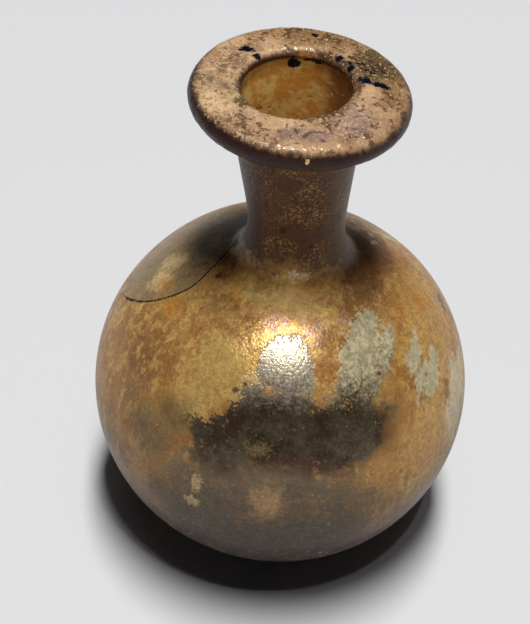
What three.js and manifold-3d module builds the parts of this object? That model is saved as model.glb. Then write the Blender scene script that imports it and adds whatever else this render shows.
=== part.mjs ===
// A free-blown glass perfume flask of the Roman kind: a slightly squat globe on a small flattened base,
// a narrow neck that widens upwards, and a thick collar folded outwards round the mouth.
// It is one piece of glass, hollow and empty, with one old hairline crack across the left shoulder.
// Millimetres, +Z up, origin at the middle of the base, where the flask stands. The front is towards -Y.
import * as THREE from "three";
import { mergeVertices } from "three/addons/utils/BufferGeometryUtils.js";
import Module from "manifold-3d";

// The globe. It stands on a flat of BASE_RADIUS, which fixes the height of its middle.
const BODY_RADIUS = 32;
const BODY_HALF_HEIGHT = 30.9;
const BASE_RADIUS = 8.5;
const BODY_WALL = 1.4;
const BASE_WALL = 2.2;
const BODY_MIDDLE = BODY_HALF_HEIGHT * Math.sqrt(1 - (BASE_RADIUS / BODY_RADIUS) ** 2);

// The neck. Heights are above the base. The waist is the narrowest place, a little over the shoulder.
const NECK_ROOT_RADIUS = 11.2;
const NECK_ROOT_RUN = 0.8;
const WAIST_RADIUS = 7.87;
const WAIST_HEIGHT = 66.2;
const WAIST_STRAIGHT = 2.8;
const NECK_TOP_RADIUS = 10.3;
const NECK_FLARE = 1.1;
const NECK_FLARE_HEIGHT = 8.5;
const NECK_WALL = 1.7;

// The collar, whose outer edge is a half round, and the mouth with its rolled lip.
const COLLAR_RADIUS = 16.9;
const COLLAR_THICKNESS = 4.6;
const COLLAR_MIDDLE_HEIGHT = 89.75;
const COLLAR_FILLET = 1.3;
const COLLAR_FILLET_REACH = 2.2;
const CREST_RISE = 0.35;
const MOUTH_RADIUS = 8.3;
const LIP_ROUND = 1.4;
const BORE_TOP_RADIUS = 8.55;
const BORE_TOP_DEPTH = 2.6;

// What the free hand left uneven: the neck starts a little right of the middle and leans left as it rises,
// the shoulder sank a little under it, the collar tips down to the right while the mouth in it tips up
// and lies left of its middle, and the collar is not quite round.
const LEAN_START_RADIUS = 20;
const NECK_SHIFT = 0.42;
const SHOULDER_SINK = 0.5;
const SINK_REACH = 27;
const SINK_TOP_HEIGHT = 60;
const COLLAR_SHIFT = -0.9;
const COLLAR_TIP = -0.02;
const MOUTH_TIP = 0.08;
const MOUTH_OFFSET = new THREE.Vector2(-0.65, 0.25);
const MOUTH_OFFSET_START = 84;
const COLLAR_WAVE = 0.012;
const COLLAR_WAVE_TURN = THREE.MathUtils.degToRad(25);

// The crack, seen from above as X and Y. It starts on the left side and ends at the root of the neck.
const CRACK_PLAN = [
  [-28.4, 2.3],
  [-25.2, -4.1],
  [-19.7, -7.4],
  [-14.9, -6.8],
  [-11.8, -3.2],
  [-9.8, 0.6],
];
const CRACK_HALF_WIDTH = 0.18;
const CRACK_DEPTH = 0.35;
const CRACK_END_SHARE = 0.55;
const CRACK_STEPS = 30;

// How finely the outline is cut up: steps round the axis, and along each stretch of the profile.
const ROUND_SEGMENTS = 64;
const STEPS = {
  lowerGlobe: 10,
  upperGlobe: 9,
  neckRoot: 5,
  neck: 4,
  collarFillet: 2,
  collarEdge: 6,
  lip: 3,
  bore: 5,
  boreRoot: 4,
  chamber: 13,
};

const collarTop = COLLAR_MIDDLE_HEIGHT + COLLAR_THICKNESS / 2;
const collarUnderside = COLLAR_MIDDLE_HEIGHT - COLLAR_THICKNESS / 2;
const crestHeight = collarTop + CREST_RISE;
const { smoothstep } = THREE.MathUtils;
const point = (radius, height) => new THREE.Vector2(radius, height);

// The height of the upper half of a spheroid about the globe's middle, at a distance from the axis.
function domeHeight(radius, halfWidth = BODY_RADIUS, halfHeight = BODY_HALF_HEIGHT) {
  return BODY_MIDDLE + halfHeight * Math.sqrt(1 - (radius / halfWidth) ** 2);
}

// An arc of a spheroid about the globe's middle, between two angles measured up from its equator.
function globeArc(halfWidth, halfHeight, from, to, steps) {
  return new THREE.EllipseCurve(0, BODY_MIDDLE, halfWidth, halfHeight, from, to, to < from).getPoints(steps);
}

function bend(start, pullOne, pullTwo, end, steps) {
  return new THREE.CubicBezierCurve(start, pullOne, pullTwo, end).getPoints(steps);
}

// From the root on the shoulder, where it follows the globe's slope, up to the waist, where it is upright.
function neckRoot(rootRadius, halfWidth, halfHeight, waistRadius, steps) {
  const root = point(rootRadius, domeHeight(rootRadius, halfWidth, halfHeight));
  const slope = ((halfHeight / halfWidth) ** 2 * rootRadius) / (root.y - BODY_MIDDLE);
  const run = (rootRadius - waistRadius) * NECK_ROOT_RUN;
  const alongShoulder = point(rootRadius - run, root.y + run * slope);
  const belowWaist = point(waistRadius, WAIST_HEIGHT - WAIST_STRAIGHT);
  return bend(root, alongShoulder, belowWaist, point(waistRadius, WAIST_HEIGHT), steps);
}

// From the waist up to a wider top, first upright and then flaring.
function flare(waistRadius, top, steps) {
  const waist = point(waistRadius, WAIST_HEIGHT);
  const aboveWaist = point(waistRadius, WAIST_HEIGHT + WAIST_STRAIGHT);
  const belowTop = point(top.x - NECK_FLARE, top.y - NECK_FLARE_HEIGHT);
  return bend(waist, aboveWaist, belowTop, top, steps);
}

// The outside, from the middle of the base to the outer edge of the collar.
function outerProfile() {
  const baseAngle = -Math.acos(BASE_RADIUS / BODY_RADIUS);
  const rootAngle = Math.acos(NECK_ROOT_RADIUS / BODY_RADIUS);
  const edge = COLLAR_THICKNESS / 2;
  const neckTop = point(NECK_TOP_RADIUS, collarUnderside - COLLAR_FILLET);
  const underCollar = point(NECK_TOP_RADIUS + COLLAR_FILLET_REACH, collarUnderside);
  const inCorner = point(NECK_TOP_RADIUS, collarUnderside);
  const halfRound = new THREE.EllipseCurve(
    COLLAR_RADIUS - edge, COLLAR_MIDDLE_HEIGHT, edge, edge, -Math.PI / 2, Math.PI / 2,
  );
  return [
    point(0, 0),
    ...globeArc(BODY_RADIUS, BODY_HALF_HEIGHT, baseAngle, 0, STEPS.lowerGlobe),
    ...globeArc(BODY_RADIUS, BODY_HALF_HEIGHT, 0, rootAngle, STEPS.upperGlobe),
    ...neckRoot(NECK_ROOT_RADIUS, BODY_RADIUS, BODY_HALF_HEIGHT, WAIST_RADIUS, STEPS.neckRoot),
    ...flare(WAIST_RADIUS, neckTop, STEPS.neck),
    ...bend(neckTop, inCorner, inCorner, underCollar, STEPS.collarFillet),
    ...halfRound.getPoints(STEPS.collarEdge),
  ];
}

// The inside, from the rolled lip of the mouth down to the middle of the floor.
function innerProfile() {
  const halfWidth = BODY_RADIUS - BODY_WALL;
  const halfHeight = BODY_HALF_HEIGHT - BODY_WALL;
  const waistRadius = WAIST_RADIUS - NECK_WALL;
  const rootRadius = NECK_ROOT_RADIUS - NECK_WALL;
  const rootAngle = Math.acos(rootRadius / halfWidth);
  const floorAngle = -Math.asin((BODY_MIDDLE - BASE_WALL) / halfHeight);
  const lip = new THREE.EllipseCurve(
    MOUTH_RADIUS + LIP_ROUND, crestHeight - LIP_ROUND, LIP_ROUND, LIP_ROUND, Math.PI / 2, Math.PI,
  );
  const boreTop = point(BORE_TOP_RADIUS, crestHeight - BORE_TOP_DEPTH);
  return [
    ...lip.getPoints(STEPS.lip),
    ...flare(waistRadius, boreTop, STEPS.bore).reverse(),
    ...neckRoot(rootRadius, halfWidth, halfHeight, waistRadius, STEPS.boreRoot).reverse(),
    ...globeArc(halfWidth, halfHeight, rootAngle, floorAngle, STEPS.chamber),
    point(0, BASE_WALL),
  ];
}

// Points that two neighbouring stretches share are kept once.
function joined(profile) {
  const sameHere = 1e-6;
  return profile.filter((p, i) => i === 0 || p.distanceTo(profile[i - 1]) > sameHere);
}

// How far the middle line stands right of the axis at a height.
function middleLine(height) {
  const shoulder = domeHeight(LEAN_START_RADIUS);
  const root = domeHeight(WAIST_RADIUS);
  const start = NECK_SHIFT * smoothstep(height, shoulder, root);
  return start + (COLLAR_SHIFT - NECK_SHIFT) * smoothstep(height, root, collarUnderside);
}

// How far the shoulder sank at a place of the true turned form.
function sink(radius, height) {
  if (height < BODY_MIDDLE) return 0;
  const nearNeck = 1 - smoothstep(radius, NECK_ROOT_RADIUS, SINK_REACH);
  return SHOULDER_SINK * nearNeck * (1 - smoothstep(height, SINK_TOP_HEIGHT, WAIST_HEIGHT));
}

// Moves each ring to the middle line, sinks the shoulder, waves and tips the collar, and sets the mouth.
function madeByHand(geometry) {
  const places = geometry.getAttribute("position");
  const place = new THREE.Vector3();
  for (let i = 0; i < places.count; i += 1) {
    place.fromBufferAttribute(places, i);
    const radius = Math.hypot(place.x, place.y);
    const turn = Math.atan2(place.y, place.x);
    const onCollar = smoothstep(place.z, collarUnderside - COLLAR_FILLET, collarUnderside);
    const nearEdge = smoothstep(radius, MOUTH_RADIUS, COLLAR_RADIUS);
    const wave = 1 + COLLAR_WAVE * onCollar * nearEdge * Math.cos(2 * turn - COLLAR_WAVE_TURN);
    const tip = (COLLAR_TIP + MOUTH_TIP * (1 - nearEdge)) * onCollar * place.x;
    const offset = smoothstep(place.z, MOUTH_OFFSET_START, collarTop) * (1 - nearEdge);
    places.setXYZ(
      i,
      place.x * wave + middleLine(place.z) + MOUTH_OFFSET.x * offset,
      place.y * wave + MOUTH_OFFSET.y * offset,
      place.z + tip - sink(radius, place.z),
    );
  }
  return geometry;
}

// The height of the outside between the equator and the waist, at a place seen from above.
function shoulderHeight(x, y) {
  const rising = outerProfile().filter((p) => p.y >= BODY_MIDDLE && p.y <= WAIST_HEIGHT);
  const radius = Math.hypot(x - middleLine(domeHeight(Math.hypot(x, y))), y);
  const above = rising.findIndex((p) => p.x <= radius);
  const [low, high] = [rising[above - 1], rising[above]];
  const height = THREE.MathUtils.mapLinear(radius, low.x, high.x, low.y, high.y);
  return height - sink(radius, height);
}

function blownShell() {
  const profile = joined([...outerProfile(), ...innerProfile()]);
  return madeByHand(new THREE.LatheGeometry(profile, ROUND_SEGMENTS).rotateX(Math.PI / 2));
}

// A thin wedge that follows the crack over the shoulder, with its sharp edge down in the wall.
function crackWedge() {
  const onShoulder = ([x, y]) => new THREE.Vector3(x, y, shoulderHeight(x, y));
  const line = new THREE.CatmullRomCurve3(CRACK_PLAN.map(onShoulder));
  const centre = new THREE.Vector3(0, 0, BODY_MIDDLE);
  const rings = [];
  for (let i = 0; i <= CRACK_STEPS; i += 1) {
    const along = i / CRACK_STEPS;
    const onLine = line.getPointAt(along);
    const seat = onShoulder([onLine.x, onLine.y]);
    const outward = seat.clone().sub(centre).normalize();
    const across = new THREE.Vector3().crossVectors(outward, line.getTangentAt(along)).normalize();
    const share = CRACK_END_SHARE + (1 - CRACK_END_SHARE) * Math.sin(Math.PI * along);
    const depth = CRACK_DEPTH * share;
    const openHalf = CRACK_HALF_WIDTH * share * (1 + CRACK_DEPTH / depth);
    rings.push([
      seat.clone().addScaledVector(outward, CRACK_DEPTH).addScaledVector(across, -openHalf),
      seat.clone().addScaledVector(outward, CRACK_DEPTH).addScaledVector(across, openHalf),
      seat.clone().addScaledVector(outward, -depth),
    ]);
  }
  return closedStrip(rings);
}

// A closed form through a row of three-cornered rings.
function closedStrip(rings) {
  const faces = [];
  for (let ring = 0; ring < rings.length - 1; ring += 1) {
    for (let side = 0; side < 3; side += 1) {
      const here = ring * 3 + side;
      const next = ring * 3 + ((side + 1) % 3);
      faces.push(here, here + 3, next, next, here + 3, next + 3);
    }
  }
  const last = (rings.length - 1) * 3;
  faces.push(0, 1, 2, last, last + 2, last + 1);
  const corners = rings.flat().flatMap((corner) => corner.toArray());
  const geometry = new THREE.BufferGeometry();
  geometry.setAttribute("position", new THREE.Float32BufferAttribute(corners, 3));
  geometry.setIndex(faces);
  return geometry;
}

const wasm = await Module();
wasm.setup();

function solidOf(geometry) {
  const bare = geometry.clone();
  bare.deleteAttribute("normal");
  bare.deleteAttribute("uv");
  const merged = mergeVertices(bare);
  return new wasm.Manifold(new wasm.Mesh({
    numProp: 3,
    vertProperties: merged.getAttribute("position").array,
    triVerts: new Uint32Array(merged.getIndex().array),
  }));
}

function geometryOf(solid) {
  const { vertProperties, triVerts } = solid.getMesh();
  const geometry = new THREE.BufferGeometry();
  geometry.setAttribute("position", new THREE.BufferAttribute(vertProperties, 3));
  geometry.setIndex(new THREE.BufferAttribute(triVerts, 1));
  geometry.computeVertexNormals();
  return geometry;
}

const weatheredGlass = new THREE.MeshStandardMaterial({
  color: new THREE.Color(0.46, 0.33, 0.16),
  roughness: 0.38,
  metalness: 0.15,
});

const crackedShell = solidOf(blownShell()).subtract(solidOf(crackWedge()));
const flask = new THREE.Mesh(geometryOf(crackedShell), weatheredGlass);
flask.name = "flask";

const part = new THREE.Group();
part.add(flask);

export default part;
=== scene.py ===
import math

import bmesh
import bpy
from mathutils import Matrix, Vector, noise
from mathutils.geometry import interpolate_bezier, intersect_point_line
from mathutils.kdtree import KDTree


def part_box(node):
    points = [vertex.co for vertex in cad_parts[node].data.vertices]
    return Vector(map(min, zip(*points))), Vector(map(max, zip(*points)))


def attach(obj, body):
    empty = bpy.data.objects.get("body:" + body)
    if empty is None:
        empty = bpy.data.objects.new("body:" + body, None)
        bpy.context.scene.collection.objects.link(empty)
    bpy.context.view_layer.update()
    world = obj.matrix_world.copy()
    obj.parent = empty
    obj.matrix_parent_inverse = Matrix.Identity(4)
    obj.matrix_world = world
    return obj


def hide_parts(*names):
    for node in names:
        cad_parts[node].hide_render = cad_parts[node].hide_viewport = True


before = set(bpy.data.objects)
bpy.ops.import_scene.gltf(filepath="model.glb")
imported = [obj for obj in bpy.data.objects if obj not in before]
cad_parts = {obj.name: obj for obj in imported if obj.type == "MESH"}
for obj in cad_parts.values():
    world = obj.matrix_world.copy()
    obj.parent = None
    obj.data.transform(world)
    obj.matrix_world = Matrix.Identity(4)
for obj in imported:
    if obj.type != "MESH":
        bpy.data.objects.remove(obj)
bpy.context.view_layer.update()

MM = 0.001

# The globe, from the frame, and the flat it stands on.
low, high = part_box("flask")
GLOBE_RADIUS = (high[0] - low[0]) / 2 / MM
GLOBE_HALF_HEIGHT = 30.9
BASE_RADIUS = 8.5
GLOBE_WALL = 1.4
BASE_WALL = 2.2
GLOBE_MIDDLE = GLOBE_HALF_HEIGHT * math.sqrt(1 - (BASE_RADIUS / GLOBE_RADIUS) ** 2)

# The neck, with heights above the base.
ROOT_RADIUS = 11.2
ROOT_RUN = 0.8
WAIST_RADIUS = 7.87
WAIST_HEIGHT = 66.2
WAIST_STRAIGHT = 2.8
NECK_TOP_RADIUS = 10.3
NECK_FLARE = 1.1
NECK_FLARE_HEIGHT = 8.5
NECK_WALL = 1.7

# The folded collar and the mouth.
COLLAR_RADIUS = 16.9
COLLAR_THICKNESS = 4.6
COLLAR_MIDDLE = 89.75
COLLAR_FILLET = 1.3
COLLAR_FILLET_REACH = 2.2
CREST_RISE = 0.35
MOUTH_RADIUS = 8.3
LIP_ROUND = 1.4
BORE_TOP_RADIUS = 8.55
BORE_TOP_DEPTH = 2.6

# What the free hand left uneven.
LEAN_START_RADIUS = 20
NECK_SHIFT = 0.42
COLLAR_SHIFT = -0.9
COLLAR_TIP = -0.02
MOUTH_TIP = 0.08
MOUTH_OFFSET = Vector((-0.65, 0.25, 0))
MOUTH_OFFSET_START = 84
SHOULDER_SINK = 0.5
SINK_REACH = 27
SINK_TOP_HEIGHT = 60
COLLAR_WAVE = 0.012
COLLAR_WAVE_TURN = math.radians(25)

# The crack over the left shoulder, seen from above.
CRACK_PLAN = [(-28.3, 2.2), (-26.7, -1.6), (-24.5, -4.6), (-22.1, -6.4), (-19.7, -7.2),
              (-17.4, -7.3), (-15.7, -6.8), (-14.4, -5.8), (-13.1, -4.3), (-11.8, -2.6),
              (-10.6, -0.8), (-9.5, 1.0), (-8.4, 2.6)]
CRACK_WIDTH = 0.22
CRACK_DEPTH = 0.16
SHARD_STEP = 0.1
SHARD_SINK = 0.3
SHARD_MIDDLE = Vector((-17, 3, 55))
SHARD_REACH = 17

# How finely the mesh is cut, and the room that its relief may use inside the solid's outline.
TURN_STEPS = 300
CRACK_CUTS = 4
CRACK_CUT_REACH = 0.6
SKIN_ROOM = 0.08
MERGE_DISTANCE = 1e-4

COLLAR_TOP = COLLAR_MIDDLE + COLLAR_THICKNESS / 2
COLLAR_UNDERSIDE = COLLAR_MIDDLE - COLLAR_THICKNESS / 2
CREST_HEIGHT = COLLAR_TOP + CREST_RISE


def at(radius, height):
    return Vector((radius, 0, height))


def smooth(value, low_end, high_end):
    share = min(max((value - low_end) / (high_end - low_end), 0), 1)
    return share * share * (3 - 2 * share)


def dome_height(radius, half_width=GLOBE_RADIUS, half_height=GLOBE_HALF_HEIGHT):
    return GLOBE_MIDDLE + half_height * math.sqrt(1 - (radius / half_width) ** 2)


# Outline of the flask, as half a section

def arc(middle, half_width, half_height, start, end, steps):
    angles = [start + (end - start) * i / steps for i in range(steps + 1)]
    return [middle + at(half_width * math.cos(a), half_height * math.sin(a)) for a in angles]


def globe_arc(wall, start, end, steps):
    return arc(at(0, GLOBE_MIDDLE), GLOBE_RADIUS - wall, GLOBE_HALF_HEIGHT - wall, start, end, steps)


def bend(start, pull_one, pull_two, end, steps):
    return interpolate_bezier(start, pull_one, pull_two, end, steps + 1)


def neck_root(wall_on_globe, wall_on_neck, steps):
    """From the shoulder, along the globe's slope, up to the waist."""
    half_width = GLOBE_RADIUS - wall_on_globe
    half_height = GLOBE_HALF_HEIGHT - wall_on_globe
    root = at(ROOT_RADIUS - wall_on_neck, dome_height(ROOT_RADIUS - wall_on_neck, half_width, half_height))
    waist = at(WAIST_RADIUS - wall_on_neck, WAIST_HEIGHT)
    slope = (half_height / half_width) ** 2 * root.x / (root.z - GLOBE_MIDDLE)
    run = (root.x - waist.x) * ROOT_RUN
    return bend(root, root + at(-run, run * slope), waist - at(0, WAIST_STRAIGHT), waist, steps)


def flare(waist_radius, top, steps):
    """From the waist up to a wider top."""
    waist = at(waist_radius, WAIST_HEIGHT)
    return bend(waist, waist + at(0, WAIST_STRAIGHT), top - at(NECK_FLARE, NECK_FLARE_HEIGHT), top, steps)


def outside_outline():
    edge = COLLAR_THICKNESS / 2
    neck_top = at(NECK_TOP_RADIUS, COLLAR_UNDERSIDE - COLLAR_FILLET)
    corner = at(NECK_TOP_RADIUS, COLLAR_UNDERSIDE)
    under_collar = at(NECK_TOP_RADIUS + COLLAR_FILLET_REACH, COLLAR_UNDERSIDE)
    edge_middle = at(COLLAR_RADIUS - edge, COLLAR_MIDDLE)
    edge_top = edge_middle + at(0, edge)
    lip_middle = at(MOUTH_RADIUS + LIP_ROUND, CREST_HEIGHT - LIP_ROUND)
    crest = lip_middle + at(0, LIP_ROUND)
    return [
        *arc(at(0, 0), BASE_RADIUS, 0, math.pi / 2, 0, 8),
        *globe_arc(0, -math.acos(BASE_RADIUS / GLOBE_RADIUS), math.acos(ROOT_RADIUS / GLOBE_RADIUS), 126),
        *neck_root(0, 0, 18),
        *flare(WAIST_RADIUS, neck_top, 38),
        *bend(neck_top, corner, corner, under_collar, 10),
        *arc(edge_middle, edge, edge, -math.pi / 2, math.pi / 2, 18),
        *bend(edge_top, edge_top - at(1.5, 0), crest + at(1.5, 0), crest, 17),
        *arc(lip_middle, LIP_ROUND, LIP_ROUND, math.pi / 2, math.pi, 8),
    ]


def inside_outline():
    bore_top = at(BORE_TOP_RADIUS, CREST_HEIGHT - BORE_TOP_DEPTH)
    root_angle = math.acos((ROOT_RADIUS - NECK_WALL) / (GLOBE_RADIUS - GLOBE_WALL))
    floor_angle = -math.asin((GLOBE_MIDDLE - BASE_WALL) / (GLOBE_HALF_HEIGHT - GLOBE_WALL))
    return [
        at(MOUTH_RADIUS, CREST_HEIGHT - LIP_ROUND),
        *flare(WAIST_RADIUS - NECK_WALL, bore_top, 26)[::-1],
        *neck_root(GLOBE_WALL, NECK_WALL, 6)[::-1],
        *globe_arc(GLOBE_WALL, root_angle, floor_angle, 30),
        at(0, BASE_WALL),
    ]


# The blown shell

def spin_outline(outline, skin):
    """Turns an open outline a quarter round the axis, and mirrors that to the full round."""
    shell = bmesh.new()
    corners = [shell.verts.new(outline[0])]
    for place in outline[1:]:
        if (place - corners[-1].co).length > MERGE_DISTANCE:
            corners.append(shell.verts.new(place))
    line = [shell.edges.new(pair) for pair in zip(corners, corners[1:])]
    bmesh.ops.spin(
        shell, geom=corners + line, cent=(0, 0, 0), axis=(0, 0, 1), dvec=(0, 0, 0),
        angle=math.tau / 4, steps=TURN_STEPS // 4,
    )
    for axis in ("X", "Y"):
        whole = [*shell.verts, *shell.edges, *shell.faces]
        bmesh.ops.mirror(shell, geom=whole, axis=axis, merge_dist=MERGE_DISTANCE)
    for face in shell.faces:
        face.material_index = skin
    turned = bpy.data.meshes.new("turned")
    shell.to_mesh(turned)
    shell.free()
    return turned


def middle_line(height):
    """How far the middle line stands right of the axis."""
    root = dome_height(WAIST_RADIUS)
    start = NECK_SHIFT * smooth(height, dome_height(LEAN_START_RADIUS), root)
    return start + (COLLAR_SHIFT - NECK_SHIFT) * smooth(height, root, COLLAR_UNDERSIDE)


def sink(radius, height):
    """How far the shoulder sank under the neck."""
    if height < GLOBE_MIDDLE:
        return 0
    near_neck = smooth(radius, SINK_REACH, ROOT_RADIUS)
    return SHOULDER_SINK * near_neck * smooth(height, WAIST_HEIGHT, SINK_TOP_HEIGHT)


def shape_by_hand(place):
    """Where a point of the true turned form went when the neck leaned and the collar was folded."""
    radius = math.hypot(place.x, place.y)
    on_collar = smooth(place.z, COLLAR_UNDERSIDE - COLLAR_FILLET, COLLAR_UNDERSIDE)
    near_edge = smooth(radius, MOUTH_RADIUS, COLLAR_RADIUS)
    turn = math.atan2(place.y, place.x)
    wave = 1 + COLLAR_WAVE * on_collar * near_edge * math.cos(2 * turn - COLLAR_WAVE_TURN)
    rise = on_collar * (COLLAR_TIP + MOUTH_TIP * (1 - near_edge)) * place.x - sink(radius, place.z)
    offset = MOUTH_OFFSET * smooth(place.z, MOUTH_OFFSET_START, COLLAR_TOP) * (1 - near_edge)
    return Vector((place.x * wave + middle_line(place.z), place.y * wave, place.z + rise)) + offset


class Crack:
    """The line of the crack on the outside of the shell."""

    def __init__(self):
        plan = [Vector((x, y, 0)) for x, y in CRACK_PLAN]
        tangents = [(b - a) / 6 for a, b in zip([plan[0], *plan], [*plan[1:], plan[-1]])]
        self.line = []
        for i in range(len(plan) - 1):
            stretch = bend(plan[i], plan[i] + tangents[i], plan[i + 1] - tangents[i + 1], plan[i + 1], 12)
            self.line += stretch[:-1]
        outline = [p for p in outside_outline() if GLOBE_MIDDLE <= p.z <= WAIST_HEIGHT]
        for place in self.line:
            shift = middle_line(dome_height(place.length))
            radius = math.hypot(place.x - shift, place.y)
            height = next(p.z for p in outline if p.x <= radius)
            place.z = height - sink(radius, height)
        self.tree = KDTree(len(self.line))
        for i, place in enumerate(self.line):
            self.tree.insert(place, i)
        self.tree.balance()

    def measure(self, place):
        """The distance to the crack, which is negative on the shard, and how far along it lies, 0 to 1."""
        nearest = self.tree.find(place)[1]
        start = min(max(nearest - 1, 0), len(self.line) - 3)
        best = None
        for i in (start, start + 1):
            on_line, share = intersect_point_line(place, self.line[i], self.line[i + 1])
            share = min(max(share, 0), 1)
            on_line = self.line[i].lerp(self.line[i + 1], share)
            away = (place - on_line).length
            if best is None or away < best[0]:
                best = (away, i, share, on_line)
        away, i, share, on_line = best
        outward = on_line - Vector((0, 0, GLOBE_MIDDLE))
        across = outward.cross(self.line[i + 1] - self.line[i])
        side = 1 if (place - on_line).dot(across) < 0 else -1
        return side * away, (i + share) / (len(self.line) - 1)


def refine_along(shell, crack, reach):
    """Cuts the faces near the crack finer, so that it can be a thin line."""
    near = set()
    for vert in shell.verts:
        if vert.co.x < -5 and vert.co.z > GLOBE_MIDDLE and crack.tree.find(vert.co)[2] < reach:
            near.add(vert)
    edges = {edge for vert in near for edge in vert.link_edges}
    bmesh.ops.subdivide_edges(shell, edges=list(edges), cuts=CRACK_CUTS, use_grid_fill=True)


def weathered(place):
    """How far the skin stands out or in, in millimetres, at a place on the outside."""
    relief = 0.07 * noise.noise(place / 24) + 0.03 * noise.noise(place / 8)
    on_collar = smooth(place.z, COLLAR_UNDERSIDE - 1.5, COLLAR_UNDERSIDE + 0.5)
    if on_collar:
        crust = 0.07 * noise.noise(place / 4) + 0.05 * noise.noise(place / 1.3)
        pits = 0.13 * smooth(noise.noise(place / 0.8), 0.3, 0.6)
        relief += on_collar * (crust - pits)
    return relief


def flask_mesh():
    shell = bmesh.new()
    shell.from_mesh(spin_outline(outside_outline(), 0))
    shell.from_mesh(spin_outline(inside_outline(), 1))
    bmesh.ops.remove_doubles(shell, verts=shell.verts, dist=MERGE_DISTANCE)
    for vert in shell.verts:
        vert.co = shape_by_hand(vert.co)
    crack = Crack()
    refine_along(shell, crack, CRACK_CUT_REACH)
    bmesh.ops.recalc_face_normals(shell, faces=shell.faces)
    shell.normal_update()

    crack_mark = shell.verts.layers.float.new("crack")
    shard_mark = shell.verts.layers.float.new("shard")
    moves = []
    for vert in shell.verts:
        if not any(face.material_index == 0 for face in vert.link_faces):
            continue
        place = vert.co.copy()
        off_base = smooth(place.z, 0, 2)
        relief = weathered(place)
        if place.x < 0 and place.z > GLOBE_MIDDLE and place.z < WAIST_HEIGHT:
            away, along = crack.measure(place)
            ends = smooth(along, 0, 0.08) * smooth(along, 1, 0.94)
            line = math.exp(-((away / CRACK_WIDTH) ** 2)) * ends
            from_middle = (place - SHARD_MIDDLE).length
            on_shard = smooth(away, 0.12, -0.12) * smooth(from_middle, SHARD_REACH, 0.6 * SHARD_REACH)
            vert[crack_mark] = line
            vert[shard_mark] = on_shard
            relief -= CRACK_DEPTH * line + on_shard * (SHARD_STEP + SHARD_SINK * smooth(away, -1, -8))
        relief = min(relief, SKIN_ROOM - 0.01)
        moves.append((vert, vert.normal * (relief - SKIN_ROOM) * off_base))
    for vert, move in moves:
        vert.co += move
    for face in shell.faces:
        face.smooth = True
    bmesh.ops.scale(shell, vec=(MM, MM, MM), verts=shell.verts)
    mesh = bpy.data.meshes.new("weathered_flask")
    shell.to_mesh(mesh)
    shell.free()
    return mesh


# Finishes

def colour(red, green, blue):
    """A plain 0 to 255 colour as the shader wants it."""
    parts = (part / 255 for part in (red, green, blue))
    linear = [((part + 0.055) / 1.055) ** 2.4 if part > 0.04045 else part / 12.92 for part in parts]
    return (*linear, 1)


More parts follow.
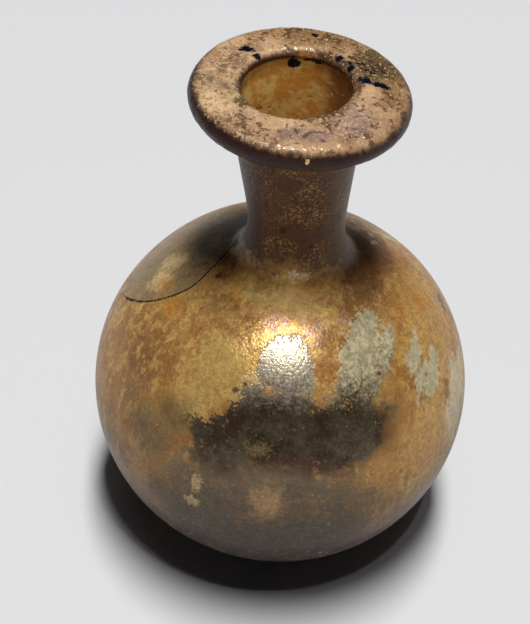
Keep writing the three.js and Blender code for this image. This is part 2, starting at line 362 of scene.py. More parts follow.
class Finish:
    """Lays one material's nodes. Each method gives back the socket that the next one reads."""

    def __init__(self, name):
        self.material = bpy.data.materials.new(name)
        self.material.use_nodes = True
        self.tree = self.material.node_tree
        self.shader = self.tree.nodes["Principled BSDF"]
        metres = self.add("TexCoord").outputs["Object"]
        self.place = self.add("VectorMath", operation="SCALE", Vector=metres, Scale=1 / MM).outputs[0]

    def add(self, kind, inputs=(), **settings):
        node = self.tree.nodes.new("ShaderNode" + kind)
        sockets = dict(enumerate(inputs))
        for name, value in settings.items():
            if hasattr(node, name) and name not in node.inputs:
                setattr(node, name, value)
            else:
                sockets[name.replace("_", " ")] = value
        for name, value in sockets.items():
            self.feed(node.inputs[name], value)
        return node

    def feed(self, socket, value):
        if isinstance(value, bpy.types.NodeSocket):
            self.tree.links.new(value, socket)
        else:
            socket.default_value = value

    def set(self, **values):
        for name, value in values.items():
            self.feed(self.shader.inputs[name.replace("_", " ")], value)

    def math(self, operation, *values):
        return self.add("Math", values, operation=operation).outputs[0]

    def vector(self, operation, *values):
        return self.add("VectorMath", values, operation=operation).outputs[0]

    def ease(self, value, low_end, high_end, low_out=0.0, high_out=1.0):
        ends = (value, low_end, high_end, low_out, high_out)
        return self.add("MapRange", ends, interpolation_type="SMOOTHSTEP").outputs[0]

    def cloud(self, size, detail=3, roughness=0.55, seed=0, where=None):
        node = self.add("TexNoise", noise_dimensions="4D", Vector=where or self.place, W=float(seed),
                        Scale=1 / size, Detail=detail, Roughness=roughness)
        return node.outputs["Fac"]

    def drift(self, size, reach, seed=0, where=None):
        """The place, pushed about by a cloud, so that what is drawn there gets a ragged edge."""
        node = self.add("TexNoise", noise_dimensions="4D", Vector=where or self.place, W=float(seed),
                        Scale=1 / size, Detail=4, Roughness=0.6)
        push = self.vector("SUBTRACT", node.outputs["Color"], (0.5, 0.5, 0.5))
        scaled = self.add("VectorMath", operation="SCALE", Vector=push, Scale=2 * reach).outputs[0]
        return self.vector("ADD", where or self.place, scaled)

    def stretched(self, share):
        """The place, squeezed along Z, which draws a cloud out into upright streaks."""
        return self.vector("MULTIPLY", self.place, (1, 1, share))

    def blots(self, where, spots, boxy=False):
        """Above 0 within any of the spots, each a place and its reach, and 1 at their middles."""
        whole = None
        for middle, reach in spots:
            reach = reach if isinstance(reach, tuple) else (reach, reach, reach)
            offset = self.vector("DIVIDE", self.vector("SUBTRACT", where, middle), reach)
            if boxy:
                offset = self.vector("MULTIPLY", offset, offset)
            length = self.add("VectorMath", operation="LENGTH", Vector=offset).outputs["Value"]
            if boxy:
                length = self.math("SQRT", length)
            blot = self.math("SUBTRACT", 1.0, length)
            whole = blot if whole is None else self.math("MAXIMUM", whole, blot)
        return whole

    def height(self, where=None):
        return self.add("SeparateXYZ", (where or self.place,)).outputs["Z"]

    def lay(self, share, under, over):
        """A colour over another, by a share of 0 to 1."""
        node = self.add("Mix", data_type="RGBA")
        for name, value in (("Factor_Float", share), ("A_Color", under), ("B_Color", over)):
            self.feed(next(s for s in node.inputs if s.identifier == name), value)
        return next(s for s in node.outputs if s.identifier == "Result_Color")

    def level(self, share, under, over):
        """A number over another, by a share of 0 to 1."""
        return self.add("Mix", (share,), data_type="FLOAT", A=under, B=over).outputs[0]

    def mark(self, name):
        return self.add("Attribute", attribute_name=name).outputs["Fac"]


AMBER = colour(162, 107, 52)
OCHRE = colour(206, 155, 87)
DULL_AMBER = colour(138, 100, 56)
ROSE_BROWN = colour(150, 104, 68)
PALE_GOLD = colour(238, 188, 112)
BRIGHT_GOLD = colour(240, 206, 132)
GLOW_WARM_GOLD = colour(240, 176, 94)
PAINTED_LIGHT_GOLD = colour(255, 206, 124)
PAINTED_SHADE_UMBER = colour(122, 80, 52)
ORANGE_BROWN = colour(206, 158, 92)
ORANGE = colour(206, 132, 50)
OLIVE_BROWN = colour(104, 90, 62)
TAUPE = colour(116, 104, 85)
WARM_TAUPE = colour(136, 110, 83)
LOW_GOLD = colour(206, 162, 112)
ASH = colour(186, 172, 142)
DULL_OLIVE = colour(146, 124, 80)
STREAK_GREY = colour(206, 188, 150)
CREAM_GREY = colour(190, 174, 138)
HONEY_CREAM = colour(232, 208, 170)
FILM_GREY = colour(98, 88, 68)
FILM_BROWN = colour(74, 58, 44)
PLUM = colour(92, 60, 48)
PAINTED_REFLECTION_SILVER = colour(194, 180, 158)
BASE_PAINTED_SHADE = colour(30, 24, 20)
BASE_RUST = colour(84, 46, 36)
BASE_DARK = colour(24, 16, 20)
PIT_BROWN = colour(36, 24, 14)
SHARD_GREEN = colour(156, 136, 98)
SHARD_PAINTED_LIGHT = colour(206, 186, 140)
SHARD_GOLD = colour(232, 196, 142)
NECK_BROWN = colour(92, 56, 22)
NECK_GOLD = colour(160, 118, 64)
NECK_LEFT_PAINTED_REFLECTION = colour(58, 32, 14)
NECK_RIGHT_PAINTED_REFLECTION = colour(100, 74, 42)
BEIGE = colour(222, 180, 138)
PALE_BEIGE = colour(255, 216, 164)
DULL_BEIGE = colour(170, 132, 98)
GOLD_BROWN = colour(142, 104, 62)
COLLAR_BROWN = colour(84, 54, 38)
MULBERRY = colour(52, 30, 26)
OLIVE = colour(100, 84, 50)
LILAC_GREY = colour(150, 126, 120)
SPARKLE = colour(250, 216, 172)
INK = colour(12, 20, 32)
VIOLET = colour(206, 150, 196)
INSIDE_HONEY = colour(255, 210, 120)
INSIDE_AMBER = colour(240, 166, 74)
INSIDE_RUST = colour(140, 84, 50)
INSIDE_PALE = colour(250, 230, 184)
INSIDE_SEAM = colour(84, 50, 26)

PAPER_WHITE = colour(232, 232, 233)

# How strong the grain is, how deep relief and glow go, and how far glass bends light.
GRAIN_SHARE = 0.12
SKIN_RELIEF = 0.14 * MM
INSIDE_RELIEF = 0.15 * MM
PAPER_RELIEF = 0.1 * MM
GLOW_DEPTH = 8 * MM
GLASS_IOR = 1.5

# Places on the flask, each with its reach: where a film has stayed on, or flaked or darkened, and where
# painted light and shade go.
GREY_FILM = [((-4.6, -26.2, 44.8), (3.6, 9, 3.4)), ((-9.0, -27.8, 40.2), (5.8, 9, 4.4)),
             ((-6.6, -26.8, 42.4), (4.0, 9, 3.8)),
             ((0.4, -26.8, 44.4), (6.4, 9, 7.0)), ((9.0, -26.8, 43.4), (7.0, 9, 6.6)),
             ((15.0, -23.2, 43.2), (6.2, 9, 5.8)), ((12.8, -17.6, 51.0), (4.2, 8, 4.4)),
             ((13.0, -12.6, 55.0), (2.6, 4, 2.4)), ((16.6, -14.0, 51.8), (1.6, 5, 3.4))]
FILM_BY_HIGHLIGHT = [((0.8, -19.9, 52.6), (4.6, 7, 3.9))]
PLUM_FILM = [((5.0, -29.0, 39.6), (9, 6, 3.6))]
PALE_STREAKS = [((21.2, -11.0, 50.0), (1.1, 6, 4.2)), ((24.4, -11.5, 46.0), (1.2, 8, 3.6)),
                ((22.6, -15.0, 46.4), (0.9, 6, 3))]
GOLD_FILM = [((-9.8, -20.4, 51.2), (7.2, 8, 6.2)), ((-13.6, -23.2, 46.6), (3, 6, 4.0))]
ROOT_PAINTED_GLOW = [((0.8, -12.0, 59.0), (10.5, 7.5, 5.0)), ((-7.5, -9.0, 58.2), (4.5, 4, 3))]
DULL_LEFT = [((-20.0, -22.0, 38.0), (10, 11, 6.5)), ((-16.5, -24.5, 42.5), (5, 8, 4.5))]
SHOULDER_PAINTED_SHADE = [((13.8, 5.4, 57.0), (6.5, 8, 4)), ((9.5, -2.5, 59.5), (4.5, 5, 2.5))]
LEFT_FLANK = [((-23.0, -15.0, 46.0), (9, 12, 10))]
RIGHT_FLANK = [((23.0, -3.5, 50.5), (7, 12, 10)), ((24.5, -17.0, 36.0), (7, 10, 12))]
LIMB_PAINTED_GLOW = [((29.4, -8.5, 39.5), (2.6, 12, 10))]
DULL_BELLY = [((-1.0, -28.0, 27.0), (21, 14, 18.5)), ((-5.0, 26.0, 24.0), (24, 20, 14))]
LOW_GLOW = [((-0.5, -31.6, 33.0), (3.8, 5, 6.6))]
PALE_FLECKS = [((-11.8, -29.4, 33.8), (1.2, 2, 2.4)), ((-12.4, -29.6, 29.6), (1.6, 2, 1.4))]
ROOT_FLECKS = [((0.6, -8.6, 61.6), (1.2, 1.4, 0.9)), ((2.4, -8.6, 61.3), (1.1, 1.4, 0.8)),
               ((-2.2, -8.8, 61.0), 0.8)]
OLIVE_FLECKS = [((-2.4, -28.8, 42.6), (2.6, 3, 1.8)), ((-20.5, -21.5, 41.0), (3, 4, 2)),
                ((-16.0, -27.0, 36.0), (2, 3, 1.4))]
GLOSSY_GOLD = [((0.0, -17.4, 55.2), (9.0, 8, 5.0))]
SPARKLING = [((-2.0, -18.5, 54.0), (9.5, 8, 6.0))]
ORANGE_SPOTS = [((-18.3, -10.0, 53.0), 2.3), ((21.7, -1.3, 52.3), 2.8),
                ((17.6, -6.0, 54.4), (1.2, 2, 1.6))]
SMALL_PITS = [((-6.7, -23.5, 49.6), 0.7), ((-5.3, -22.9, 50.6), 0.6), ((-11.4, -5.8, 57.4), 0.8),
              ((15.6, -17.6, 50.6), 0.7), ((-9.3, 0.6, 59.4), (1.0, 1.6, 1.2)),
              ((-10.6, -1.6, 58.8), (0.8, 0.8, 0.9))]
NECK_PITS = [((-1.8, -7.9, 69.9), (0.6, 1, 1.1)), ((3.0, -7.6, 66.8), (0.6, 1, 0.6)),
             ((-4.4, -6.9, 74.5), (0.6, 1, 0.7)), ((1.4, -8.2, 77.0), (0.5, 1, 0.7))]
SHARD_PAINTED_LIGHT_NEAR_NECK = [((-10.5, 1.0, 58.5), (6, 7, 4))]
SHARD_AMBER = [((-20.4, -4.2, 52.6), (2.6, 2.4, 3))]
SHARD_FLECK = [((-19.6, 0.9, 54.0), (4.0, 3.0, 3)), ((-21.0, -2.6, 52.2), (3.2, 2.8, 4))]
INK_SPOTS = [((-9.8, 8.2, 92.1), (1.6, 0.9, 1)), ((-8.2, 6.7, 92.0), (1.0, 0.6, 1)),
             ((-2.4, 8.9, 90.2), (1.2, 1, 1.1)), ((0.4, 13.3, 92.2), (0.7, 0.6, 1)),
             ((4.6, 7.2, 92.2), (0.8, 0.6, 1)), ((6.3, 4.6, 92.5), (0.7, 0.6, 1)),
             ((8.6, 1.2, 92.6), (1.2, 0.8, 1)), ((10.8, 1.0, 92.4), (1.9, 0.9, 1)),
             ((3.0, 8.3, 91.2), (1.6, 0.6, 1))]
DARK_CRUST = [((10.0, 4.6, 92.3), (5.0, 3.4, 2)), ((-8.5, -5.2, 92.0), (3.5, 1.6, 2)),
              ((10.0, 9.0, 92.0), (5, 5, 2))]
LEFT_CRUST = [((-12.0, -3.0, 92.0), (5.5, 9.5, 3))]
RIGHT_CRUST = [((13.0, -6.0, 92.0), (6, 9, 3)), ((4.0, -13.5, 92.0), (9, 4, 3))]
BACK_CRUST = [((2.0, 13.0, 92.0), (15, 5, 3)), ((12.5, 4.0, 92.0), (4.5, 9, 3))]
INK_SPRINKLE = [((7.0, 4.2, 92.4), (5.5, 3.4, 2))]
LILAC_CRUST = [((7.0, -8.5, 92.3), (4.5, 5, 2)), ((0.0, -12.5, 92.0), (7, 2, 2))]
LIP_GLOW = [((-0.8, 8.6, 91.1), (1.7, 1.0, 0.7))]
LIP_INK = [((-2.4, 8.7, 89.9), (1.2, 1, 0.9)), ((1.2, 8.4, 90.7), (2.4, 0.8, 0.4))]
GOLD_BEAD = [((1.0, -16.5, 90.2), (0.45, 1, 0.45))]
VIOLET_GLINTS = [((-1.6, -14.6, 56.8), (2.6, 3, 2.6)), ((4.4, -15.4, 55.8), (2.4, 4, 2.4)),
                 ((8.9, -12.5, 56.6), (1.4, 2, 1.4))]


class Skin(Finish):
    """The outside of the flask, with the clouds that its films share."""

    def __init__(self):
        super().__init__("weathered_skin")
        self.broad = self.cloud(13, detail=3)
        self.mottle = self.cloud(4.2, detail=6, roughness=0.68, seed=1)
        self.fleck = self.cloud(1.1, detail=5, roughness=0.68, seed=2)
        self.grit = self.cloud(0.42, detail=2, seed=3)
        self.streak = self.cloud(1.6, detail=5, roughness=0.64, seed=4, where=self.stretched(0.3))
        self.ragged = self.drift(4.5, 2.0, seed=5)
        self.crumbled = self.drift(1.1, 0.6, seed=6)
        tear = self.about_zero(self.mottle, 1.1)
        fray = self.about_zero(self.fleck, 0.9)
        self.tatter = self.math("ADD", tear, fray)
        self.paint = colour(0, 0, 0)
        self.metal = 0.0
        self.gloss = 0.4
        self.clear = 0.1
        self.film = 0.0

    def about_zero(self, cloud, reach):
        """A cloud that swings to both sides of 0."""
        return self.math("MULTIPLY", self.math("SUBTRACT", cloud, 0.5), reach)

    def patch(self, spots, edge=0.08, tatter=1.0, boxy=False):
        """1 within the listed places of a film or of painted light or shade, with a ragged border that breaks
        up in bits.
        """
        torn = self.math("MULTIPLY", self.tatter, tatter)
        return self.ease(self.math("ADD", self.blots(self.ragged, spots, boxy), torn), 0.0, edge)

    def crumbs(self, spots, edge=0.3):
        """1 on small spots with crumbled borders."""
        blots = self.blots(self.crumbled, spots)
        return self.ease(self.math("ADD", blots, self.about_zero(self.grit, 1.5)), 0.0, edge)

    def both(self, one, other):
        return self.math("MULTIPLY", one, other)

    def coat(self, share, paint, metal=None, gloss=None, clear=None):
        """Lays a film, or painted light or shade, over all that is there, by a share of 0 to 1."""
        self.paint = self.lay(share, self.paint, paint)
        if metal is not None:
            self.metal = self.level(share, self.metal, metal)
        if gloss is not None:
            self.gloss = self.level(share, self.gloss, gloss)
        if clear is not None:
            self.clear = self.level(share, self.clear, clear)

    def grain(self, depth):
        """Makes all that is there lighter and darker in fine grains."""
        grains = self.math("ADD", self.both(self.grit, 0.45), self.both(self.fleck, 0.55))
        share = self.ease(grains, 0.38, 0.62, 1 - depth, 1 + depth)
        self.paint = self.add("VectorMath", operation="SCALE", Vector=self.paint, Scale=share).outputs[0]


def paint_globe(skin):
    amber = skin.lay(skin.ease(skin.mottle, 0.3, 0.62), AMBER, OCHRE)
    skin.coat(1.0, amber, metal=0.15, gloss=0.36, clear=0.08)
    skin.coat(skin.both(skin.ease(skin.broad, 0.48, 0.62), 0.6), ROSE_BROWN)
    skin.coat(skin.both(skin.patch(LEFT_FLANK, 0.6), 0.4), DULL_AMBER)
    skin.coat(skin.both(skin.patch(RIGHT_FLANK, 0.4), 0.8), ORANGE_BROWN)
    gold_streaks = skin.both(skin.ease(skin.streak, 0.5, 0.58), skin.ease(skin.broad, 0.4, 0.55))
    skin.coat(skin.both(gold_streaks, 0.55), PALE_GOLD)
    skin.coat(skin.patch(GOLD_FILM, 0.5), PALE_GOLD, metal=0.4, gloss=0.3)
    skin.coat(skin.patch(GLOSSY_GOLD, 0.9), PALE_GOLD, metal=0.35, gloss=0.29)
    # Painted shade: a darker umber patch on the right shoulder by the neck, where the collar's shadow falls.
    skin.coat(skin.both(skin.patch(SHOULDER_PAINTED_SHADE, 0.6), 0.75), PAINTED_SHADE_UMBER, metal=0.0)
    # Painted glow: the neck's root in front is golden, and its paint is made lighter to stand in for light
    # shining through the glass under the collar's shadow.
    root_glow = skin.lay(skin.ease(skin.mottle, 0.38, 0.6), GLOW_WARM_GOLD, PAINTED_LIGHT_GOLD)
    skin.coat(skin.patch(ROOT_PAINTED_GLOW, 0.7, 0.8), root_glow, metal=0.0)


def paint_belly(skin):
    height = skin.height(skin.ragged)
    taupe = skin.lay(skin.ease(skin.mottle, 0.4, 0.6), TAUPE, WARM_TAUPE)
    skin.coat(skin.both(skin.patch(DULL_LEFT, 0.8, 1.2), 0.75), OLIVE_BROWN)
    skin.coat(skin.patch(DULL_BELLY, 0.3), taupe, metal=0.1, gloss=0.45)
    scratches = skin.both(skin.ease(skin.mottle, 0.5, 0.6), skin.ease(skin.fleck, 0.5, 0.6))
    skin.coat(skin.both(skin.both(skin.ease(height, 44, 36), scratches), 0.5), DULL_OLIVE)
    skin.coat(skin.both(skin.patch(LOW_GLOW, 0.9, 0.8), 0.85), LOW_GOLD, metal=0.2, gloss=0.4)
    # Painted glow: cream on the right-hand limb, for light shining through the thin glass edge.
    skin.coat(skin.both(skin.patch(LIMB_PAINTED_GLOW, 0.5, 0.4), 0.8), HONEY_CREAM, metal=0.0, gloss=0.4)
    # Painted shade: darker towards the bottom, which faces the shadowed floor.
    skin.coat(skin.both(skin.ease(height, 40, 15), 0.85), BASE_PAINTED_SHADE, metal=0.0)
    rust = skin.lay(skin.ease(skin.fleck, 0.42, 0.58), BASE_DARK, BASE_RUST)
    at_front = skin.ease(skin.add("SeparateXYZ", (skin.ragged,)).outputs["Y"], -12, -24)
    skin.coat(skin.both(skin.ease(height, 28, 8), 0.6), BASE_RUST, gloss=0.55)
    skin.coat(skin.both(skin.both(skin.ease(height, 24, 16), at_front), 0.85), rust)
    dark_spots = skin.both(skin.ease(height, 22, 17), skin.ease(skin.mottle, 0.48, 0.56))
    skin.coat(skin.both(skin.both(dark_spots, at_front), 0.8), BASE_DARK)
    gold_crumbs = skin.both(skin.ease(height, 21, 17), skin.ease(skin.fleck, 0.58, 0.64))
    skin.coat(skin.both(skin.both(gold_crumbs, at_front), 0.5), OCHRE)


def paint_films(skin):
    height = skin.height(skin.ragged)
    along = skin.add("SeparateXYZ", (skin.place,))
    soft_below = skin.ease(height, 44, 38, 0.16, 0.6)
    torn = skin.math("ADD", skin.tatter, skin.about_zero(skin.grit, 0.7))
    softer = skin.math("ADD", soft_below, skin.ease(along.outputs["X"], 12, 18, 0.0, 0.6))
    dark_places = skin.blots(skin.ragged, GREY_FILM, boxy=True)
    left_on = skin.math("MAXIMUM", dark_places, skin.blots(skin.ragged, FILM_BY_HIGHLIGHT))
    film = skin.ease(skin.math("ADD", left_on, torn), 0.0, softer)
    elsewhere = skin.ease(skin.cloud(9, detail=5, roughness=0.6, seed=11), 0.62, 0.64)
    film = skin.math("MAXIMUM", film, skin.both(elsewhere, skin.ease(along.outputs["Y"], -8, 2)))
    skin.film = film
    dull = skin.lay(skin.ease(skin.mottle, 0.42, 0.6), FILM_BROWN, FILM_GREY)
    dull = skin.lay(skin.both(skin.patch(PLUM_FILM, 0.8), 0.6), dull, PLUM)
    # The film is laid darker low down and lighter towards its top. The silver near the highlight is a painted
    # reflection of the lamp; the cream on the right is the film's own colour.
    bright = skin.lay(skin.ease(along.outputs["X"], 7, 9), PAINTED_REFLECTION_SILVER, CREAM_GREY)
    scatter = skin.math("ADD", skin.about_zero(skin.fleck, 5), skin.about_zero(skin.grit, 5))
    rise = skin.ease(skin.math("ADD", height, scatter), 47.5, 53.5)
    skin.coat(film, skin.lay(rise, dull, bright), metal=0.42, gloss=0.26, clear=0.0)
    on_right = skin.both(skin.both(film, rise), skin.ease(along.outputs["X"], 7, 9))
    skin.coat(on_right, skin.lay(skin.ease(skin.fleck, 0.45, 0.6), CREAM_GREY, STREAK_GREY), metal=0.15)
    skin.coat(skin.patch(PALE_STREAKS, 0.3, 1.7), STREAK_GREY, metal=0.1)

    ash = skin.both(skin.ease(skin.fleck, 0.62, 0.68), skin.ease(skin.broad, 0.45, 0.6))
    skin.coat(skin.both(ash, 0.5), ASH, metal=0.1)
    skin.coat(skin.both(skin.crumbs(PALE_FLECKS, 0.6), 0.6), SHARD_GOLD, metal=0.1)
    skin.coat(skin.both(skin.crumbs(OLIVE_FLECKS, 0.9), 0.6), DULL_OLIVE, metal=0.1)
    # Painted glints: bright gold specks around the highlight, in the same painted-light gold as the root.
    sparks = skin.both(skin.patch(SPARKLING, 0.6), skin.ease(skin.grit, 0.56, 0.64))
    skin.coat(skin.both(sparks, 0.6), PAINTED_LIGHT_GOLD, metal=0.5, gloss=0.22)
    skin.coat(skin.both(skin.patch(ORANGE_SPOTS, 0.7, 1.0), 0.6), ORANGE)
    skin.coat(skin.both(skin.crumbs(SMALL_PITS, 0.6), 0.85), PIT_BROWN, metal=0.0, gloss=0.5)
    skin.coat(skin.both(skin.ease(skin.grit, 0.67, 0.73), 0.4), BRIGHT_GOLD, metal=0.5, gloss=0.25)
    near_glints = skin.ease(skin.blots(skin.ragged, VIOLET_GLINTS), 0.0, 0.4)
    glints = skin.both(near_glints, skin.ease(skin.grit, 0.54, 0.62))
    skin.coat(skin.both(glints, 0.8), VIOLET)


def paint_shard(skin):
    shard = skin.mark("shard")
    skin.coat(skin.both(shard, 0.8), SHARD_GREEN, metal=0.0, gloss=0.35, clear=0.2)
    # Painted light: the shard's paint is made lighter by the neck, where the collar's shadow falls, to stand
    # in for light through the glass.
    skin.coat(skin.both(shard, skin.patch(SHARD_PAINTED_LIGHT_NEAR_NECK, 0.8)), SHARD_PAINTED_LIGHT)
    skin.coat(skin.both(shard, skin.both(skin.patch(SHARD_FLECK, 0.6, 1.4), 0.85)), SHARD_GOLD)
    skin.coat(skin.both(shard, skin.both(skin.patch(SHARD_AMBER, 0.6, 1.4), 0.5)), ORANGE)
    skin.coat(skin.ease(skin.mark("crack"), 0.08, 0.5), PIT_BROWN, metal=0.0, gloss=0.5, clear=0.0)


def paint_neck(skin):
    along = skin.add("SeparateXYZ", (skin.ragged,))
    at_sides = skin.both(skin.math("ABSOLUTE", along.outputs["X"]), 0.4)
    scattered = skin.math("ADD", skin.height(skin.ragged), skin.about_zero(skin.fleck, 12))
    on_neck = skin.ease(skin.math("ADD", scattered, at_sides), 61, 65.5)
    gold_grains = skin.both(skin.ease(skin.grit, 0.46, 0.64), skin.ease(skin.mottle, 0.43, 0.6))
    speck = skin.lay(gold_grains, NECK_BROWN, NECK_GOLD)
    # Painted reflections: a darker band down the neck's left side and a lighter olive band down its right.
    speck = skin.lay(skin.both(skin.ease(along.outputs["X"], -3.5, -6), 0.7), speck, NECK_LEFT_PAINTED_REFLECTION)
    speck = skin.lay(skin.both(skin.ease(along.outputs["X"], 3, 6), 0.6), speck, NECK_RIGHT_PAINTED_REFLECTION)
    skin.coat(on_neck, speck, metal=0.05, gloss=0.42)
    black = skin.both(skin.both(on_neck, skin.ease(skin.fleck, 0.39, 0.34)), 0.8)
    skin.coat(black, PIT_BROWN)
    skin.coat(skin.both(skin.crumbs(NECK_PITS, 0.5), 0.9), PIT_BROWN)
    skin.coat(skin.both(skin.crumbs(ROOT_FLECKS, 0.6), 0.8), HONEY_CREAM)


def paint_collar(skin):
    height = skin.height()
    on_collar = skin.ease(height, 86.6, 87.4)
    crust = skin.lay(skin.ease(skin.mottle, 0.4, 0.64), BEIGE, DULL_BEIGE)
    crust = skin.lay(skin.both(skin.patch(LEFT_CRUST, 0.6), 0.7), crust, PALE_BEIGE)
    crust = skin.lay(skin.both(skin.patch(RIGHT_CRUST, 0.6), 0.5), crust, DULL_BEIGE)
    crust = skin.lay(skin.both(skin.patch(BACK_CRUST, 0.6), 0.75), crust, GOLD_BROWN)
    crust = skin.lay(skin.both(skin.patch(LILAC_CRUST, 0.6), 0.6), crust, LILAC_GREY)
    crust = skin.lay(skin.both(skin.patch(DARK_CRUST, 0.5, 1.4), 0.9), crust, OLIVE)
    specks = skin.math("ADD", skin.fleck, skin.about_zero(skin.mottle, 0.7))
    crust = skin.lay(skin.both(skin.ease(specks, 0.54, 0.58), 0.75), crust, COLLAR_BROWN)
    across = skin.add("SeparateXYZ", (skin.ragged,)).outputs["X"]
    crumbled_height = skin.math("ADD", height, skin.about_zero(skin.fleck, 2.5))
    edge = skin.ease(skin.math("ADD", crumbled_height, skin.both(across, 0.045)), 91.6, 90.6)
    crust = skin.lay(skin.both(edge, 0.95), crust, MULBERRY)
    outward = skin.vector("MULTIPLY", skin.vector("SUBTRACT", skin.crumbled, (COLLAR_SHIFT, 0, 0)), (1, 1, 0))
    radius = skin.add("VectorMath", operation="LENGTH", Vector=outward).outputs["Value"]
    crust = skin.lay(skin.both(skin.ease(radius, 15.7, 16.7), 0.7), crust, MULBERRY)
    crust = skin.lay(skin.both(skin.ease(radius, 9.6, 8.8), 0.6), crust, COLLAR_BROWN)
    skin.coat(on_collar, crust, metal=0.05, gloss=0.36, clear=0.08)
    on_top = skin.both(on_collar, skin.ease(height, 91.2, 91.8))
    sparkle = skin.both(on_top, skin.ease(skin.grit, 0.58, 0.64))
    skin.coat(skin.both(sparkle, 0.7), SPARKLE, metal=0.3, gloss=0.22)
    sprinkle = skin.both(skin.patch(INK_SPRINKLE, 0.5, 1.4), skin.ease(skin.fleck, 0.55, 0.58))
    ink = skin.both(on_collar, skin.math("MAXIMUM", skin.crumbs(INK_SPOTS), sprinkle))
    skin.coat(ink, INK, metal=0.0, gloss=0.25, clear=0.0)
    skin.coat(skin.crumbs(GOLD_BEAD), BRIGHT_GOLD, metal=0.4)
    skin.coat(skin.both(skin.crumbs(LIP_GLOW, 0.8), 0.9), ORANGE)


def weathered_skin():
    skin = Skin()
    paint_globe(skin)
    paint_belly(skin)
    paint_films(skin)
    paint_shard(skin)
    paint_neck(skin)
    skin.grain(GRAIN_SHARE)
    paint_collar(skin)
    skin.grain(GRAIN_SHARE)
    grains = skin.math("ADD", skin.both(skin.grit, 0.5), skin.both(skin.fleck, 0.5))
    relief = skin.math("ADD", grains, skin.both(skin.film, 0.3))
    bump = skin.add("Bump", Strength=1.0, Distance=SKIN_RELIEF, Height=relief).outputs[0]
    skin.set(Base_Color=skin.paint, Metallic=skin.metal, Roughness=skin.gloss, Normal=bump)
    skin.set(Transmission_Weight=skin.clear, IOR=GLASS_IOR, Specular_IOR_Level=0.2)
    skin.set(Subsurface_Weight=0.3, Subsurface_Radius=(1.0, 0.6, 0.3), Subsurface_Scale=GLOW_DEPTH)
    return skin.material


def inner_glass():
    glass = Finish("inner_glass")
    mottle = glass.cloud(2.4, detail=5, roughness=0.68, seed=7)
    fleck = glass.cloud(1.1, detail=4, roughness=0.65, seed=8)
    paint = glass.lay(glass.ease(mottle, 0.42, 0.58), INSIDE_AMBER, INSIDE_HONEY)
    right_side = glass.ease(glass.add("SeparateXYZ", (glass.drift(4, 2, seed=9),)).outputs["X"], 1.5, 5)
    paint = glass.lay(glass.math("MULTIPLY", right_side, 0.8), paint, INSIDE_RUST)
    paint = glass.lay(glass.ease(fleck, 0.37, 0.33, 0.0, 0.7), paint, INSIDE_SEAM)
    paint = glass.lay(glass.ease(fleck, 0.6, 0.66), paint, INSIDE_PALE)
    paint = glass.lay(glass.ease(glass.height(), 90.2, 91.0), paint, INSIDE_SEAM)
    crumbled = glass.drift(1.0, 0.9, seed=6)
    paint = glass.lay(glass.ease(glass.blots(crumbled, LIP_GLOW), 0.0, 0.5), paint, ORANGE)
    paint = glass.lay(glass.ease(glass.blots(crumbled, LIP_INK), 0.0, 0.2), paint, INK)
    bump = glass.add("Bump", Strength=1.0, Distance=INSIDE_RELIEF, Height=fleck).outputs[0]
    glass.set(Base_Color=paint, Roughness=0.3, Normal=bump)
    glass.set(IOR=GLASS_IOR, Transmission_Weight=0.25)
    return glass.material


def paper():
    sheet = Finish("pale_paper")
    fibre = sheet.cloud(0.9, detail=3, seed=9)
    bump = sheet.add("Bump", Strength=0.25, Distance=PAPER_RELIEF, Height=fibre).outputs[0]
    sheet.set(Base_Color=PAPER_WHITE, Roughness=0.9, Normal=bump, Specular_IOR_Level=0.1)
    return sheet.material


# The piece

def make_flask():
    mesh = flask_mesh()
    mesh.materials.append(weathered_skin())
    mesh.materials.append(inner_glass())
    flask = bpy.data.objects.new("blown_flask", mesh)
    bpy.context.collection.objects.link(flask)
    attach(flask, "root")
    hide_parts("flask")


# Floor, light and camera

FLOOR_HALF_WIDTH = 6
CAMERA_PLACE = Vector((0, -0.21519, 0.24453))
CAMERA_AIM = Vector((-0.00354, 0, 0.04517))
CAMERA_ROLL = math.radians(4.71)
CAMERA_LENS = 100.9
SENSOR_WIDTH = 36
LAMP_DISTANCE = 2.0
LAMP_WIDTH = 0.3
LAMP_LENGTH = 1.1
LAMP_POWER = 36.5
SOFT_SIZE = 1.3
SOFT_POWER = 1.8
LAMP_LEAN = math.radians(5.2)
LAMP_SHIFT = Vector((0.03, 0, 0))
GLINT_DIRECTION = Vector((0.0945, -0.347, 0.931))
GLINT_SIZE = 0.04
GLINT_POWER = 1.5
ROOM_TINT = (0.1, 0.6, 1, 1)
ROOM_STRENGTH = 0.01


def aimed(place, target):
    return (target - place).to_track_quat("-Z", "Y").to_matrix().to_4x4()


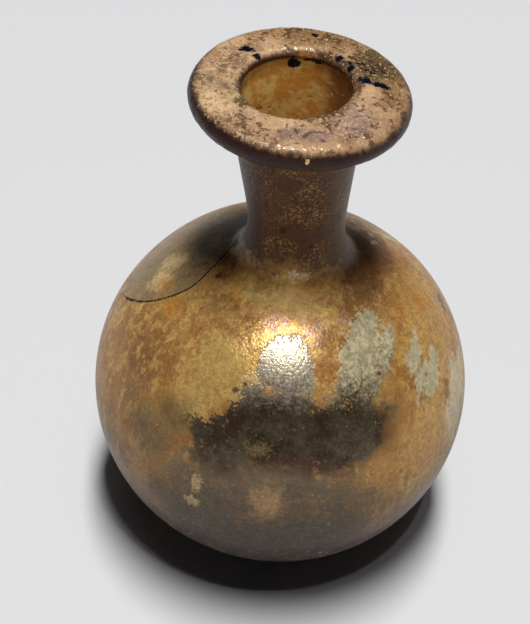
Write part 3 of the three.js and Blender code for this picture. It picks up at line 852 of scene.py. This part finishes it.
def make_floor():
    grid = bmesh.new()
    bmesh.ops.create_grid(grid, x_segments=1, y_segments=1, size=FLOOR_HALF_WIDTH)
    mesh = bpy.data.meshes.new("floor")
    grid.to_mesh(mesh)
    grid.free()
    mesh.materials.append(paper())
    floor = bpy.data.objects.new("floor", mesh)
    bpy.context.collection.objects.link(floor)


def make_lamp(name, place, target, width, length, power):
    light = bpy.data.lights.new(name, "AREA")
    light.shape = "ELLIPSE"
    light.size = width
    light.size_y = length
    light.energy = power
    lamp = bpy.data.objects.new(name, light)
    lamp.matrix_world = Matrix.Translation(place) @ aimed(place, target)
    bpy.context.collection.objects.link(lamp)


def make_camera():
    lens = bpy.data.cameras.new("camera")
    lens.lens = CAMERA_LENS
    lens.sensor_width = SENSOR_WIDTH
    lens.sensor_fit = "AUTO"
    camera = bpy.data.objects.new("camera", lens)
    roll = Matrix.Rotation(CAMERA_ROLL, 4, "Z")
    camera.matrix_world = Matrix.Translation(CAMERA_PLACE) @ aimed(CAMERA_PLACE, CAMERA_AIM) @ roll
    bpy.context.collection.objects.link(camera)
    bpy.context.scene.camera = camera


def make_world():
    world = bpy.data.worlds.new("room")
    world.use_nodes = True
    background = world.node_tree.nodes["Background"]
    background.inputs["Color"].default_value = ROOM_TINT
    background.inputs["Strength"].default_value = ROOM_STRENGTH
    bpy.context.scene.world = world
    bpy.context.scene.view_settings.view_transform = "Standard"


make_flask()
make_floor()
globe_middle = Vector((0, 0, GLOBE_MIDDLE * MM))
overhead = Vector((0, -math.sin(LAMP_LEAN), math.cos(LAMP_LEAN)))
lamp_target = globe_middle + LAMP_SHIFT
lamp_place = lamp_target + overhead * LAMP_DISTANCE
glint_place = globe_middle + GLINT_DIRECTION * LAMP_DISTANCE
make_lamp("overhead_lamp", lamp_place, lamp_target, LAMP_WIDTH, LAMP_LENGTH, LAMP_POWER)
make_lamp("soft_lamp", lamp_place, lamp_target, SOFT_SIZE, SOFT_SIZE, SOFT_POWER)
make_lamp("front_lamp", glint_place, globe_middle, GLINT_SIZE, GLINT_SIZE, GLINT_POWER)
make_camera()
make_world()
